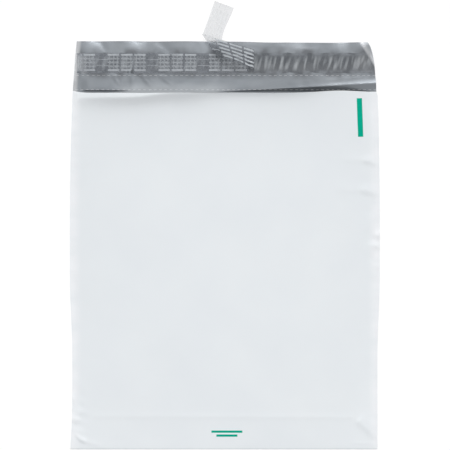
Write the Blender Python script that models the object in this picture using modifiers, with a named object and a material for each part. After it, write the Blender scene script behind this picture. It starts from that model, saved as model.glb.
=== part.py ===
"""Poly mailer bag, lying face up with its flap open and its release liner half peeled.

One folded film makes the back panel, the flap, the bottom fold and the front panel. Two side
welds join its edges. The flap carries a stripe of adhesive under a release liner, which is
peeled from the right-hand side, turned back over itself and creased, so that its tail sticks
out past the flap. Three thin patches stand for the printed bar and the printed lines.

Metres, +Z up. X runs across the bag, and Y runs from the bottom fold to the flap.
The origin is at the middle of the whole outline, on the surface that the bag lies on.
"""

from math import cos, exp, pi, radians, sin, sqrt

import bmesh
import bpy
from mathutils import Vector

# Bag outline, seen from above
BAG_WIDTH = 0.2802
PANEL_LENGTH = 0.3240
FLAP_LENGTH = 0.0454
TAIL_REACH = 0.0370
WIDEST_FROM_BOTTOM = 0.2050
TAPER_FROM_BOTTOM = 0.1580
NARROW_FROM_BOTTOM = 0.0850
BOTTOM_TAPER = 0.0022
MOUTH_TAPER = 0.0026
FLAP_TAPER = 0.0036
CORNER_ARC_WIDTH = 0.0065
CORNER_ARC_LENGTH = 0.0250

# Film and side welds
FILM = 0.0004
FLOOR_GAP = 0.0001
FOLD_RADIUS = 0.00035
WELD_WIDTH = 0.0060
WELD_COVER = 0.0002
EDGE_INSET = 0.0005

# Form of the front panel, as the air left inside holds it up
CROWN = 0.0090
BOTTOM_RUN = 0.2400
BOTTOM_ROUNDING = 1.5
SIDE_ROUNDING = 4
LIP_FLARE = 0.0026
LIP_RUN = 0.0060

# Form of the flap
RIDGE_HEIGHT = 0.0030
RIDGE_FROM_MOUTH = 0.0018
RIDGE_LEAST_FROM_MOUTH = 0.0005
RIDGE_SLANT = 0.048
RIDGE_START_X = -0.0300
RIDGE_FULL_X = 0.0700
FLAP_HUMP = 0.0008
CURL_LIFT = 0.0060
CURL_REACH = 0.0300

# Perforations across the flap
SLOT_PITCH = 0.00472
SLOT_LENGTH = 0.0024
SLOT_WIDTH = 0.0005
TEAR_ROW_FROM_MOUTH = 0.0151
MOUTH_ROW_FROM_MOUTH = 0.0028
SLOT_SIDE_MARGIN = 0.0040

# Adhesive and release liner
GAP = 0.0003
ADHESIVE = 0.0003
ADHESIVE_WIDTH = 0.0180
ADHESIVE_FROM_TEAR_ROW = 0.0021
ADHESIVE_SIDE_MARGIN = 0.0020
LINER = 0.0003
LINER_WIDTH = 0.0182
PEEL_X = 0.0216
LOOP_RADIUS = 0.0050
LOOP_SHIFT = 0.0033
CREASE_X = -0.0124
CREASE_FROM_FLAP_END = 0.0046
CREASE_ANGLE = radians(56.8)
CREASE_HALF = 0.0132
CREASE_RADIUS = 0.0009
CREASE_HEIGHT = 0.0050
RUN_ANGLE = radians(15.4)
RUN_REACH = 0.0175
RUN_LINE_X = 0.0025
RUN_LINE_Y = -0.0075
TAIL_ANGLE = radians(70.0)
TAIL_TIP_X = -0.0004
TAIL_TIP_GAP = 0.0002
TAIL_SAG = 1.3
TAIL_BOW = 0.0028

# Print on the front panel
INK = 0.0002
BAR_WIDTH = 0.0048
BAR_LENGTH = 0.0348
BAR_FROM_MOUTH = 0.0062
BAR_FROM_SIDE = 0.0137
BAR_LEAN = radians(2.2)
LINE_HEIGHT = 0.0020
LINE_STEP = 0.0036
LONG_LINE = 0.0280
SHORT_LINE = 0.0190
LINES_FROM_BOTTOM = 0.0160
LINES_X = 0.0020

# Mesh fineness
COLUMNS = 28
FRONT_ROWS = 26
LIP_ROW_DEPTHS = (0.0180, 0.0120, 0.0080, 0.0050, 0.0025, 0.0)
BACK_ROWS = 6
FOLD_STEPS = 4
WELD_ROWS = 14
ADHESIVE_ROWS = 4
CORNER_ROW_ANGLES = (90, 76, 62, 48)
SLOPE_ROW_SHARES = (1.0, 0.66, 0.33, 0.0)
LINER_COLUMNS = 4
STUCK_STEPS = 12
LOOP_STEPS = 10
RETURN_STEPS = 8
CREASE_STEPS = 6
TAIL_STEPS = 8
PATCH_STEP = 0.0040

# Places worked out from the sizes above
TOTAL_LENGTH = PANEL_LENGTH + FLAP_LENGTH + TAIL_REACH
BOTTOM_Y = -TOTAL_LENGTH / 2
MOUTH_Y = BOTTOM_Y + PANEL_LENGTH
FLAP_END_Y = MOUTH_Y + FLAP_LENGTH
WIDEST_Y = BOTTOM_Y + WIDEST_FROM_BOTTOM
TEAR_ROW_Y = MOUTH_Y + TEAR_ROW_FROM_MOUTH
MOUTH_ROW_Y = MOUTH_Y + MOUTH_ROW_FROM_MOUTH
ADHESIVE_LOW_Y = TEAR_ROW_Y + ADHESIVE_FROM_TEAR_ROW
ADHESIVE_HIGH_Y = ADHESIVE_LOW_Y + ADHESIVE_WIDTH
LINER_Y = (ADHESIVE_LOW_Y + ADHESIVE_HIGH_Y) / 2
BACK_Z = FLOOR_GAP + FILM / 2
FRONT_Z = BACK_Z + 2 * FOLD_RADIUS
WELD_TOP = FRONT_Z + FILM / 2 + WELD_COVER
FOLD_Y = BOTTOM_Y + FLOOR_GAP + FILM / 2 + FOLD_RADIUS
ADHESIVE_LIFT = FILM / 2 + GAP + ADHESIVE / 2
LINER_LIFT = ADHESIVE_LIFT + ADHESIVE / 2 + GAP + LINER / 2
INK_LIFT = FILM / 2 + GAP + INK / 2


def smooth_step(value):
    """Ease from 0 to 1, held at both ends."""
    held = min(1.0, max(0.0, value))
    return held * held * (3 - 2 * held)


def half_width(y):
    """Half of the bag's width at a height, without the rounded flap corner."""
    half = BAG_WIDTH / 2
    if y < WIDEST_Y:
        from_taper = BOTTOM_Y + TAPER_FROM_BOTTOM - y
        return half - BOTTOM_TAPER * smooth_step(from_taper / (TAPER_FROM_BOTTOM - NARROW_FROM_BOTTOM))
    if y < MOUTH_Y:
        return half - MOUTH_TAPER * ((y - WIDEST_Y) / (MOUTH_Y - WIDEST_Y)) ** 2
    return half - MOUTH_TAPER - FLAP_TAPER * (y - MOUTH_Y) / FLAP_LENGTH


def corner_cut(y):
    """How far the rounded right-hand flap corner pulls the edge in."""
    along = (y - (FLAP_END_Y - CORNER_ARC_LENGTH)) / CORNER_ARC_LENGTH
    held = min(1.0, max(0.0, along))
    return CORNER_ARC_WIDTH * (1 - sqrt(1 - held * held))


def across(u, y, inset):
    """Place across the bag, from the left edge at u = 0 to the right edge at u = 1."""
    left = -half_width(y) + inset
    right = half_width(y) - inset - corner_cut(y)
    return left + (right - left) * u


def crest_y(x):
    """The line of the crease that runs across the flap, close to the mouth."""
    return MOUTH_Y + max(RIDGE_LEAST_FROM_MOUTH, RIDGE_FROM_MOUTH + RIDGE_SLANT * x)


def back_height(x, y):
    """Height of the middle of the back film, raised a little on the flap."""
    if y <= MOUTH_Y:
        return BACK_Z
    height = BACK_Z
    crest = crest_y(x)
    ridge = RIDGE_HEIGHT * smooth_step((x - RIDGE_START_X) / (RIDGE_FULL_X - RIDGE_START_X))
    if y < crest:
        height += ridge * (y - MOUTH_Y) / (crest - MOUTH_Y)
    else:
        height += ridge * (1 - smooth_step((y - crest) / (TEAR_ROW_Y - crest)))
    if y > TEAR_ROW_Y:
        height += FLAP_HUMP * sin(pi * (y - TEAR_ROW_Y) / (FLAP_END_Y - TEAR_ROW_Y)) ** 2
    corner = Vector((half_width(FLAP_END_Y), FLAP_END_Y))
    nearness = 1 - (Vector((x, y)) - corner).length / CURL_REACH
    return height + CURL_LIFT * max(0.0, nearness) ** 2


def crown_height(y):
    """Rise of the front panel along its middle line."""
    from_bottom = min(1.0, (y - BOTTOM_Y) / BOTTOM_RUN)
    rise = CROWN * (1 - (1 - from_bottom) ** BOTTOM_ROUNDING)
    return rise + LIP_FLARE * exp((y - MOUTH_Y) / LIP_RUN)


def front_height(x, y):
    """Height of the middle of the front film, flat over the welds and crowned between them."""
    share = min(1.0, abs(x) / (half_width(y) - WELD_WIDTH))
    return FRONT_Z + crown_height(y) * (1 - share ** SIDE_ROUNDING)


def principled(name, color, roughness, metallic=0.0, alpha=1.0):
    """A material with one Principled BSDF."""
    material = bpy.data.materials.new(name)
    material.use_nodes = True
    shader = material.node_tree.nodes["Principled BSDF"]
    shader.inputs["Base Color"].default_value = (*color, 1.0)
    shader.inputs["Roughness"].default_value = roughness
    shader.inputs["Metallic"].default_value = metallic
    shader.inputs["Alpha"].default_value = alpha
    material.diffuse_color = (*color, alpha)
    return material


def bent_sheet(name, columns, rows, place, thickness, offset=0.0):
    """A grid whose points go where place(u, row) says, thickened with Solidify."""
    mesh = bpy.data.meshes.new(name)
    bm = bmesh.new()
    bmesh.ops.create_grid(bm, x_segments=columns, y_segments=rows, size=0.5)
    for vert in bm.verts:
        row = round((vert.co.y + 0.5) * rows)
        vert.co = place(vert.co.x + 0.5, row)
    bm.to_mesh(mesh)
    bm.free()
    mesh.shade_smooth()
    sheet = bpy.data.objects.new(name, mesh)
    solidify = sheet.modifiers.new("thickness", "SOLIDIFY")
    solidify.thickness = thickness
    solidify.offset = offset
    solidify.use_even_offset = True
    return sheet


def put_in(collection, thing, material=None):
    """Link an object to a collection and give it a material."""
    collection.objects.link(thing)
    if material:
        thing.data.materials.append(material)
    return thing


def hide_helper(thing):
    """Keep a cutter or guide out of the model's own shapes."""
    thing.hide_render = True
    thing.display_type = "WIRE"
    return thing


def flap_row_heights(x):
    """The heights of the flap's rows, from its free end down to the mouth, at one x."""
    arc_start = FLAP_END_Y - CORNER_ARC_LENGTH
    arc_rows = [arc_start + CORNER_ARC_LENGTH * sin(radians(angle)) for angle in CORNER_ROW_ANGLES]
    arc_rows = [y for y in arc_rows if y > ADHESIVE_HIGH_Y + FILM]
    adhesive_step = ADHESIVE_WIDTH / ADHESIVE_ROWS
    adhesive_rows = [ADHESIVE_HIGH_Y - adhesive_step * step for step in range(ADHESIVE_ROWS + 1)]
    crest = crest_y(x)
    slope_rows = [crest + (TEAR_ROW_Y - crest) * share for share in SLOPE_ROW_SHARES]
    return arc_rows + adhesive_rows + slope_rows + [(crest + MOUTH_Y) / 2]


def film_rows():
    """Every row of the folded film, as a function that places a point at u."""
    flap_rows = len(flap_row_heights(0.0))

    def on_flap(index):
        def place(u):
            y = flap_row_heights(0.0)[index]
            for _ in range(3):
                y = flap_row_heights(across(u, y, EDGE_INSET))[index]
            x = across(u, y, EDGE_INSET)
            return Vector((x, y, back_height(x, y)))
        return place

    def on_back(share):
        def place(u):
            y = MOUTH_Y + (FOLD_Y - MOUTH_Y) * share
            return Vector((across(u, y, EDGE_INSET), y, BACK_Z))
        return place

    def on_fold(angle):
        def place(u):
            x = across(u, FOLD_Y, EDGE_INSET)
            y = FOLD_Y - FOLD_RADIUS * sin(angle)
            return Vector((x, y, BACK_Z + FOLD_RADIUS * (1 - cos(angle))))
        return place

    def on_front(y):
        def place(u):
            x = across(u, y, EDGE_INSET)
            return Vector((x, y, front_height(x, y)))
        return place

    rows = [on_flap(index) for index in range(flap_rows)]
    rows += [on_back(step / BACK_ROWS) for step in range(BACK_ROWS + 1)]
    rows += [on_fold(pi * step / FOLD_STEPS) for step in range(1, FOLD_STEPS + 1)]
    front_run = MOUTH_Y - LIP_ROW_DEPTHS[0] - FOLD_Y
    rows += [on_front(FOLD_Y + front_run * step / FRONT_ROWS) for step in range(1, FRONT_ROWS)]
    rows += [on_front(MOUTH_Y - depth) for depth in LIP_ROW_DEPTHS]
    return rows


def weld_strip(name, side):
    """The flat band where the two films are fused along one side edge."""
    low = BOTTOM_Y
    high = MOUTH_Y - GAP

    def place(u, row):
        y = low + (high - low) * row / WELD_ROWS
        outer = half_width(y)
        x = side * (outer - WELD_WIDTH * (1 - u if side > 0 else u))
        return Vector((x, y, 0.0))

    return bent_sheet(name, 1, WELD_ROWS, place, WELD_TOP, offset=1.0)


def slot_cutter():
    """Two rows of small boxes that cut the perforations through the flap."""
    span = 2 * (half_width(TEAR_ROW_Y) - SLOT_SIDE_MARGIN)
    count = int(span / SLOT_PITCH)
    reach = BACK_Z + RIDGE_HEIGHT + CURL_LIFT
    bpy.ops.mesh.primitive_cube_add(size=1.0)
    cutter = bpy.context.object
    cutter.name = "perforation_cutter"
    start_x = -(count - 1) * SLOT_PITCH / 2
    for vert in cutter.data.vertices:
        vert.co.x = start_x + vert.co.x * SLOT_LENGTH
        vert.co.y = MOUTH_ROW_Y + vert.co.y * SLOT_WIDTH
        vert.co.z = vert.co.z * 2 * reach
    along = cutter.modifiers.new("along_row", "ARRAY")
    along.count = count
    along.use_relative_offset = False
    along.use_constant_offset = True
    along.constant_offset_displace = (SLOT_PITCH, 0.0, 0.0)
    between = cutter.modifiers.new("two_rows", "ARRAY")
    between.count = 2
    between.use_relative_offset = False
    between.use_constant_offset = True
    between.constant_offset_displace = (0.0, TEAR_ROW_Y - MOUTH_ROW_Y, 0.0)
    return cutter


def add_boolean(target, other, operation, name):
    """Join or cut a solid with another one."""
    boolean = target.modifiers.new(name, "BOOLEAN")
    boolean.operation = operation
    boolean.solver = "EXACT"
    boolean.object = other


def mailer_film(parts, cutters):
    """The folded film with its side welds and perforations."""
    rows = film_rows()
    film = bent_sheet("mailer_film", COLUMNS, len(rows) - 1, lambda u, row: rows[row](u), FILM)
    put_in(parts, film, principled("white_film", (0.80, 0.82, 0.84), 0.38))
    for name, side in (("left_weld", -1), ("right_weld", 1)):
        weld = put_in(cutters, hide_helper(weld_strip(name, side)))
        add_boolean(film, weld, "UNION", name)
    cutter = hide_helper(slot_cutter())
    for collection in list(cutter.users_collection):
        collection.objects.unlink(cutter)
    put_in(cutters, cutter)
    add_boolean(film, cutter, "DIFFERENCE", "perforations")
    return film


def adhesive_strip(parts):
    """The stripe of adhesive on the inner side of the flap."""
    def place(u, row):
        y = ADHESIVE_HIGH_Y - ADHESIVE_WIDTH * row / ADHESIVE_ROWS
        x = across(u, y, EDGE_INSET + ADHESIVE_SIDE_MARGIN)
        return Vector((x, y, back_height(x, y) + ADHESIVE_LIFT))

    strip = bent_sheet("adhesive_strip", COLUMNS, ADHESIVE_ROWS, place, ADHESIVE)
    return put_in(parts, strip, principled("adhesive", (0.16, 0.17, 0.18), 0.25))


def curve_point(start, bend, end, t):
    """A point on the curve that runs from start to end and is pulled towards bend."""
    return start * (1 - t) ** 2 + bend * 2 * t * (1 - t) + end * t * t


def liner_stations():
    """The liner's path: each station is its middle and half of the line across it."""
    flat_z = back_height(0.0, LINER_Y) + LINER_LIFT
    half = LINER_WIDTH / 2
    start_x = -half_width(ADHESIVE_LOW_Y) + EDGE_INSET + ADHESIVE_SIDE_MARGIN
    straight = Vector((0.0, -half, 0.0))
    stations = []
    for step in range(STUCK_STEPS + 1):
        x = start_x + (PEEL_X - start_x) * step / STUCK_STEPS
        stations.append((Vector((x, LINER_Y, flat_z)), straight))
    for step in range(1, LOOP_STEPS + 1):
        angle = pi * step / LOOP_STEPS
        x = PEEL_X + LOOP_RADIUS * sin(angle)
        y = LINER_Y + LOOP_SHIFT * step / LOOP_STEPS
        stations.append((Vector((x, y, flat_z + LOOP_RADIUS * (1 - cos(angle)))), straight))

    crease_line = Vector((cos(CREASE_ANGLE), -sin(CREASE_ANGLE), 0.0)) * CREASE_HALF
    crease = Vector((CREASE_X, FLAP_END_Y - CREASE_FROM_FLAP_END, CREASE_HEIGHT))
    loop_end = stations[-1][0]
    crease_top = crease + Vector((0.0, 0.0, CREASE_RADIUS))
    run_bend = crease_top + Vector((cos(RUN_ANGLE), -sin(RUN_ANGLE), 0.0)) * RUN_REACH
    run_bend.z = loop_end.z
    run_line = Vector((RUN_LINE_X, RUN_LINE_Y, 0.0))
    for step in range(1, RETURN_STEPS + 1):
        t = step / RETURN_STEPS
        middle = curve_point(loop_end, run_bend, crease_top, t)
        stations.append((middle, curve_point(straight, run_line, crease_line, t)))
    outward = Vector((-sin(CREASE_ANGLE), -cos(CREASE_ANGLE), 0.0))
    for step in range(1, CREASE_STEPS + 1):
        angle = pi * step / CREASE_STEPS
        lift_up = Vector((0.0, 0.0, CREASE_RADIUS * cos(angle)))
        stations.append((crease + outward * CREASE_RADIUS * sin(angle) + lift_up, crease_line))

    end_line = Vector((sin(TAIL_ANGLE), -cos(TAIL_ANGLE), 0.0)) * half
    tip = Vector((TAIL_TIP_X, FLAP_END_Y + TAIL_REACH + end_line.y, TAIL_TIP_GAP + LINER / 2))
    start_z = crease.z - CREASE_RADIUS
    for step in range(1, TAIL_STEPS + 1):
        t = step / TAIL_STEPS
        bow = Vector((TAIL_BOW / 2 * sin(pi * t) ** 2, 0.0, 0.0))
        middle = crease.lerp(tip, t) - bow
        middle.z = tip.z + (start_z - tip.z) * (1 - t) ** TAIL_SAG
        stations.append((middle, crease_line.lerp(end_line, t) - bow))
    return stations


def release_liner(parts):
    """The release liner, stuck down on the left and peeled back from the right."""
    stations = liner_stations()

    def place(u, row):
        middle, half_line = stations[row]
        point = middle + half_line * (2 * u - 1)
        if row <= STUCK_STEPS:
            point.z = back_height(point.x, point.y) + LINER_LIFT
        return point

    liner = bent_sheet("release_liner", LINER_COLUMNS, len(stations) - 1, place, LINER)
    return put_in(parts, liner, principled("liner_film", (0.86, 0.87, 0.88), 0.35, alpha=0.45))


def printed_patch(parts, name, middle, size, lean, material):
    """A thin patch of ink that follows the front panel."""
    columns = max(2, round(size[0] / PATCH_STEP))
    rows = max(2, round(size[1] / PATCH_STEP))

    def place(u, row):
        along_x = size[0] * (u - 0.5)
        along_y = size[1] * (row / rows - 0.5)
        x = middle[0] + along_x * cos(lean) - along_y * sin(lean)
        y = middle[1] + along_x * sin(lean) + along_y * cos(lean)
        return Vector((x, y, front_height(x, y) + INK_LIFT))

    return put_in(parts, bent_sheet(name, columns, rows, place, INK), material)


def print_marks(parts):
    """The green bar at the top right, and two plain lines near the bottom fold."""
    bar_y = MOUTH_Y - BAR_FROM_MOUTH - BAR_LENGTH / 2
    bar_x = half_width(bar_y) - BAR_FROM_SIDE - BAR_WIDTH / 2
    line_y = BOTTOM_Y + LINES_FROM_BOTTOM
    patches = (
        ("printed_bar", (bar_x, bar_y), (BAR_WIDTH, BAR_LENGTH), BAR_LEAN),
        ("printed_line_upper", (LINES_X, line_y), (LONG_LINE, LINE_HEIGHT), 0.0),
        ("printed_line_lower", (LINES_X, line_y - LINE_STEP), (SHORT_LINE, LINE_HEIGHT), 0.0),
    )
    for name, middle, size, lean in patches:
        ink = principled(name + "_ink", (0.001, 0.40, 0.27), 0.4)
        printed_patch(parts, name, middle, size, lean, ink)


def main():
    for thing in list(bpy.data.objects):
        bpy.data.objects.remove(thing, do_unlink=True)
    parts = bpy.data.collections.new("poly_mailer_bag")
    cutters = bpy.data.collections.new("cutters")
    bpy.context.scene.collection.children.link(parts)
    bpy.context.scene.collection.children.link(cutters)
    mailer_film(parts, cutters)
    adhesive_strip(parts)
    release_liner(parts)
    print_marks(parts)


main()
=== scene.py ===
"""The looks of the poly mailer bag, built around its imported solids.

The film is one fine folded sheet, white outside and silver grey inside, with real slits for its
perforations. On its flap lie the rippled adhesive and the translucent release liner, peeled
from the right, turned back and creased. Metres, +Z up, +Y towards the flap.
"""

from math import cos, pi, radians, sin

import bpy
import numpy as np
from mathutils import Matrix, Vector


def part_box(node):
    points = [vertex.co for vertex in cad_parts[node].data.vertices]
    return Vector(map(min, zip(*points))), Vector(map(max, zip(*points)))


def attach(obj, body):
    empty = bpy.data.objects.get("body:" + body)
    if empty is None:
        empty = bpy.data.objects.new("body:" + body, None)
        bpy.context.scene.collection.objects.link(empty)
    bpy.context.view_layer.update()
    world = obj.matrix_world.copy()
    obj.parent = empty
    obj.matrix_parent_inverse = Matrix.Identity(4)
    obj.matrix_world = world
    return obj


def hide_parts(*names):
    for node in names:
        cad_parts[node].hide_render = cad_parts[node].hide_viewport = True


MM = 0.001

# Outline of the bag, as the solids have it
FLAP_LENGTH = 45.4 * MM
WIDEST_FROM_BOTTOM = 205.0 * MM
TAPER_FROM_BOTTOM = 158.0 * MM
NARROW_FROM_BOTTOM = 85.0 * MM
BOTTOM_TAPER = 2.2 * MM
MOUTH_TAPER = 2.6 * MM
FLAP_TAPER = 3.6 * MM
CORNER_ARC_WIDTH = 6.5 * MM
CORNER_ARC_LENGTH = 25.0 * MM

# How far the panel's edges stand out past that outline
LEFT_FLARE_LEAST = 0.3 * MM
LEFT_FLARE = 1.6 * MM
LEFT_FLARE_REACH = 20.0 * MM
RIGHT_FLARE_LEAST = 0.6 * MM
RIGHT_FLARE = 0.5 * MM
RIGHT_FLARE_REACH = 45.0 * MM
RIGHT_FLARE_START = 4.0 * MM

# Film, and how the two layers lie on each other
FILM = 0.25 * MM
BACK_Z = 0.30 * MM
LAYER_GAP = 0.03 * MM
WELD_WIDTH = 3.0 * MM
FLAP_STRIP = 5.0 * MM
# Reach of the painted sheen along both side edges of the bag
EDGE_SHEEN_REACH = 9.0 * MM

# Where light is painted onto the back film along the mouth row, making it paler: up from the mouth, and
# across
MOUTH_LIGHT_REACH = 9.0 * MM
MOUTH_LIGHT_STARTS = (-104.0 * MM, -84.0 * MM)
MOUTH_LIGHT_ENDS = (14.0 * MM, -10.0 * MM)

# Form of the front panel
CROWN = 5.9 * MM
BOTTOM_RUN = 240.0 * MM
BOTTOM_ROUNDING = 1.5
SIDE_ROUNDING = 4
PANEL_WAVE = 0.22 * MM
PANEL_RIPPLE = 0.05 * MM
LOOSE_FROM_SIDE = 5.0 * MM
LOOSE_FROM_BOTTOM = 7.0 * MM
WELDED_DETAIL = 0.3
DEEPEST_DETAIL = 0.8

# Puckers of the front panel along its welds, most of all around one place on each side
PUCKER = 1.6 * MM
PUCKER_REACH = 8.0 * MM
PUCKER_LEAST = 0.25
RIGHT_PUCKERS_Y = 8.0 * MM
RIGHT_PUCKERS_REACH = 48.0 * MM
LEFT_PUCKERS_Y = -165.0 * MM
LEFT_PUCKERS_REACH = 22.0 * MM

# Form of the front panel's lip: rolled over on the left and flared up in the middle
LIP_FLARE = 3.0 * MM
LIP_RUN = 4.8 * MM
FLARE_ENDS_X = 42.0 * MM
FLARE_ENDS_RUN = 68.0 * MM
LIP_ROLL = 3.7 * MM
ROLL_RUN = 7.8 * MM
ROLL_ROUNDING = 1.3
ROLL_ENDS_X = 5.0 * MM
ROLL_ENDS_RUN = 45.0 * MM
ROLL_FROM_LIP = 6.0 * MM
ROLL_NARROWING = 3.8 * MM
ROLL_NARROWS_X = -88.0 * MM
ROLL_NARROWS_RUN = 45.0 * MM
MOUTH_RISE = 3.0 * MM
MOUTH_RUN = 36.0 * MM

# The line of the lip: drawn in from the mouth, and never further down than LIP_WANDER
LIP_DRAWN_IN = 2.2 * MM
LIP_SQUARENESS = 8
LIP_REACH = 9.0 * MM
LIP_WANDER = 2.4 * MM
LIP_WAVE = 0.12 * MM
LIP_WAVE_LENGTH = 9.0 * MM

# Form of the back film on the flap
RIDGE_HEIGHT = 2.25 * MM
RIDGE_FROM_MOUTH = 0.4 * MM
RIDGE_LEAST_FROM_MOUTH = 0.5 * MM
RIDGE_SLANT = 0.052
RIDGE_START_X = -30.0 * MM
RIDGE_FULL_X = 110.0 * MM
RIDGE_FALL = 1.65
FLAP_HUMP = 0.8 * MM
FLAP_LIFT = 1.2 * MM
FLAP_WAVE = 0.40 * MM
FLAP_WAVE_RUN = 14.0 * MM
CURL_LIFT = 6.0 * MM
CURL_REACH = 30.0 * MM
LEFT_DROP = 1.2 * MM
LEFT_DROP_REACH = 3.5 * MM
END_DROP = 0.5 * MM
END_DROP_REACH = 5.5 * MM

# The line of the flap's free end, which falls a little to the right
END_LINE_REACH = 5.0 * MM
END_LINE_SHIFT = 0.35 * MM
END_LINE_FALL = 0.6 * MM
END_FALL_START_X = -25.0 * MM
END_FALL_RUN = 75.0 * MM
END_LINE_WAVE = 0.10 * MM
END_WAVE_LENGTHS = (21.0 * MM, 8.0 * MM)

# The soft fold across the flap's right corner: its ends in millimetres, and how the film falls past it
CORNER_FOLD_START = (120.5, 167.0)
CORNER_FOLD_END = (136.2, 142.0)
CORNER_SLOPE = 0.22
CORNER_SOFTNESS = 1.6 * MM
# The painted highlight along that fold: where it comes on past the fold, and how it fades further out
CORNER_LIGHT = (-0.8 * MM, 1.2 * MM)
CORNER_FADE = (5.0 * MM, 2.0 * MM)
CORNER_FADE_LEAST = 0.35

# The tight pleat of the back film at the left of the mouth
PLEAT = 1.35 * MM
PLEAT_START_X = -131.0 * MM
PLEAT_START_RUN = 8.0 * MM
PLEAT_END_X = -80.0 * MM
PLEAT_END_RUN = 34.0 * MM
PLEAT_FROM_MOUTH = 0.35 * MM
PLEAT_STEP = 1.0 * MM
PLEAT_FADE = 14.0 * MM

# Perforations: a slit and then a tie, each one column wide
COLUMNS = 116
FINE_COLUMNS = 12
SLOT_WIDTH = 0.16 * MM
TEAR_ROW_FROM_MOUTH = 14.6 * MM
MOUTH_ROW_FROM_MOUTH = 1.8 * MM

# Spacing of the film's rows, closest where it bends most
FLAP_END_SPACING = 1.0 * MM
STRIPE_SPACING = 0.7 * MM
MOUTH_SPACING = 0.45 * MM
WANDER_SPACING = 0.5 * MM
RIM_DEPTH = 12.0 * MM
RIM_SPACING = 1.5 * MM
BACK_SPACING = 8.0 * MM
FOLD_STEPS = 6
BOTTOM_DEPTH = 30.0 * MM
BOTTOM_SPACING = 1.3 * MM
PANEL_SPACING = 2.0 * MM
LIP_DEPTH = 16.0 * MM
LIP_SPACING = 0.75 * MM

# Edges that bend by more than this are shaded as sharp
SHARP_ANGLE = radians(40)

# Adhesive
ADHESIVE = 0.05 * MM
ADHESIVE_WIDTH = 18.0 * MM
ADHESIVE_FROM_TEAR_ROW = 2.1 * MM
ADHESIVE_SIDE_MARGIN = 2.5 * MM
ADHESIVE_GAP = 0.04 * MM
ADHESIVE_COLUMNS = 260
ADHESIVE_ROWS = 14
# Reach of the painted highlight at the adhesive's left end
ADHESIVE_END_RUN = 11.0 * MM
HIGH_EDGE_WANDER = 1.4 * MM
LOW_EDGE_WANDER = 1.2 * MM
SMEAR_REACH = 6.5 * MM
RIPPLE = 0.03 * MM
RIPPLE_LENGTH = 1.35 * MM
RIPPLE_LEAN = 0.25
RIPPLE_DRIFT = 1.7
RIPPLE_DRIFT_LENGTH = 6.1 * MM

# Liner: stuck down, over a loop, back along a run to its crease, and out along its tail
LINER = 0.08 * MM
LINER_WIDTH = 18.2 * MM
LINER_GAP = 0.08 * MM
LINER_COLUMNS = 12
STUCK_STEPS = 70
PEEL_X = 21.6 * MM
LOOP_RADIUS = 5.0 * MM
LOOP_SHIFT = 3.3 * MM
LOOP_STEPS = 24
RUN_ANGLE = radians(15.4)
RUN_REACH = 17.5 * MM
RUN_LINE_X = 2.5 * MM
RUN_LINE_Y = -7.5 * MM
RUN_STEPS = 24
CREASE_X = -12.4 * MM
CREASE_FROM_FLAP_END = 4.6 * MM
CREASE_ANGLE = radians(56.8)
CREASE_HALF = 13.2 * MM
CREASE_RADIUS = 0.9 * MM
CREASE_HEIGHT = 5.0 * MM
CREASE_STEPS = 12
TAIL_ANGLE = radians(70.0)
TAIL_TIP_X = -0.4 * MM
TAIL_SAG = 1.3
TAIL_BOW = 2.8 * MM
TAIL_STEPS = 28

# Print on the liner, in millimetres along and across it
GROUP_PERIOD = 45.8
GROUP_LENGTH = 35.4
GROUP_SHIFT = 17.9
DASH_PERIOD = 12.0
DASH_LENGTH = 10.3
ROW_PERIOD = 3.45
ROW_HEIGHT = 1.6
ROW_SHIFT = 2.6
UPRIGHT_PERIOD = 3.43
UPRIGHT_WIDTH = 0.9
UPRIGHT_SHIFT = 2.1
BARE_START = 3.3
PRINT_SPAN = (0.6, 17.4)
UPRIGHT_SPAN = (2.2, 16.0)
LOWER_LINE = (5.6, 6.2)
UPPER_LINE = (11.0, 11.6)
OUTER_ROWS_FROM_MIDDLE = 5.5

# Ink on the front panel
INK = 0.04 * MM
INK_GAP = 0.05 * MM
BAR_LEAN = radians(2.2)

# Colours. Where there are two, the colour wanders between them.
WHITE_FILM = ((0.771, 0.807, 0.838), (0.796, 0.830, 0.855))
# Painted sheen: paler colour along both side edges, where the tilted film catches light
WHITE_EDGE_SHEEN = (0.865, 0.880, 0.905)
GREY_FILM = ((0.192, 0.210, 0.230), (0.232, 0.250, 0.270))
GREY_SMEARED = (0.125, 0.134, 0.146)
# Painted light: paler grey along the mouth row
GREY_MOUTH_LIGHT = (0.345, 0.365, 0.385)
# Painted highlight: lighter grey along the flap's left edge
GREY_EDGE_HIGHLIGHT = (0.40, 0.41, 0.425)
# Painted highlight along the soft fold across the flap's right corner
GREY_CORNER_HIGHLIGHT = (0.34, 0.35, 0.365)
ADHESIVE_COLOR = ((0.060, 0.068, 0.079), (0.098, 0.109, 0.123))
ADHESIVE_STREAK = (0.30, 0.32, 0.34)
# Painted highlight at the adhesive's left end, along the flap's bright left edge
ADHESIVE_END_HIGHLIGHT = (0.56, 0.58, 0.60)
ADHESIVE_THIN = (0.17, 0.185, 0.205)
LINER_COLOR = (0.32, 0.345, 0.385)
# Painted shade: darker ground of the peeled run where it lies over the flap
LINER_RUN_SHADE = (0.10, 0.11, 0.13)
LINER_INK = (0.70, 0.74, 0.78)
GREEN_INK = ((0.001, 0.375, 0.250), (0.002, 0.420, 0.285))
FLOOR_COLOR = ((0.90, 0.90, 0.90), (0.92, 0.92, 0.92))

# Lamps: name, direction that the light comes from, and strength
LAMPS = (
    ("back_lamp", (0.05, 0.80, 0.60), 2.5),
    ("left_lamp", (-0.85, 0.10, 0.50), 0.80),
    ("right_lamp", (0.85, 0.10, 0.50), 0.80),
)
LAMP_SPREAD = radians(35)
TOP_LAMP_PLACE = (0.0, -0.24, 1.30)
TOP_LAMP_SIZE = 0.7
TOP_LAMP_POWER = 2.0
SURROUNDINGS = 0.13

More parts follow.
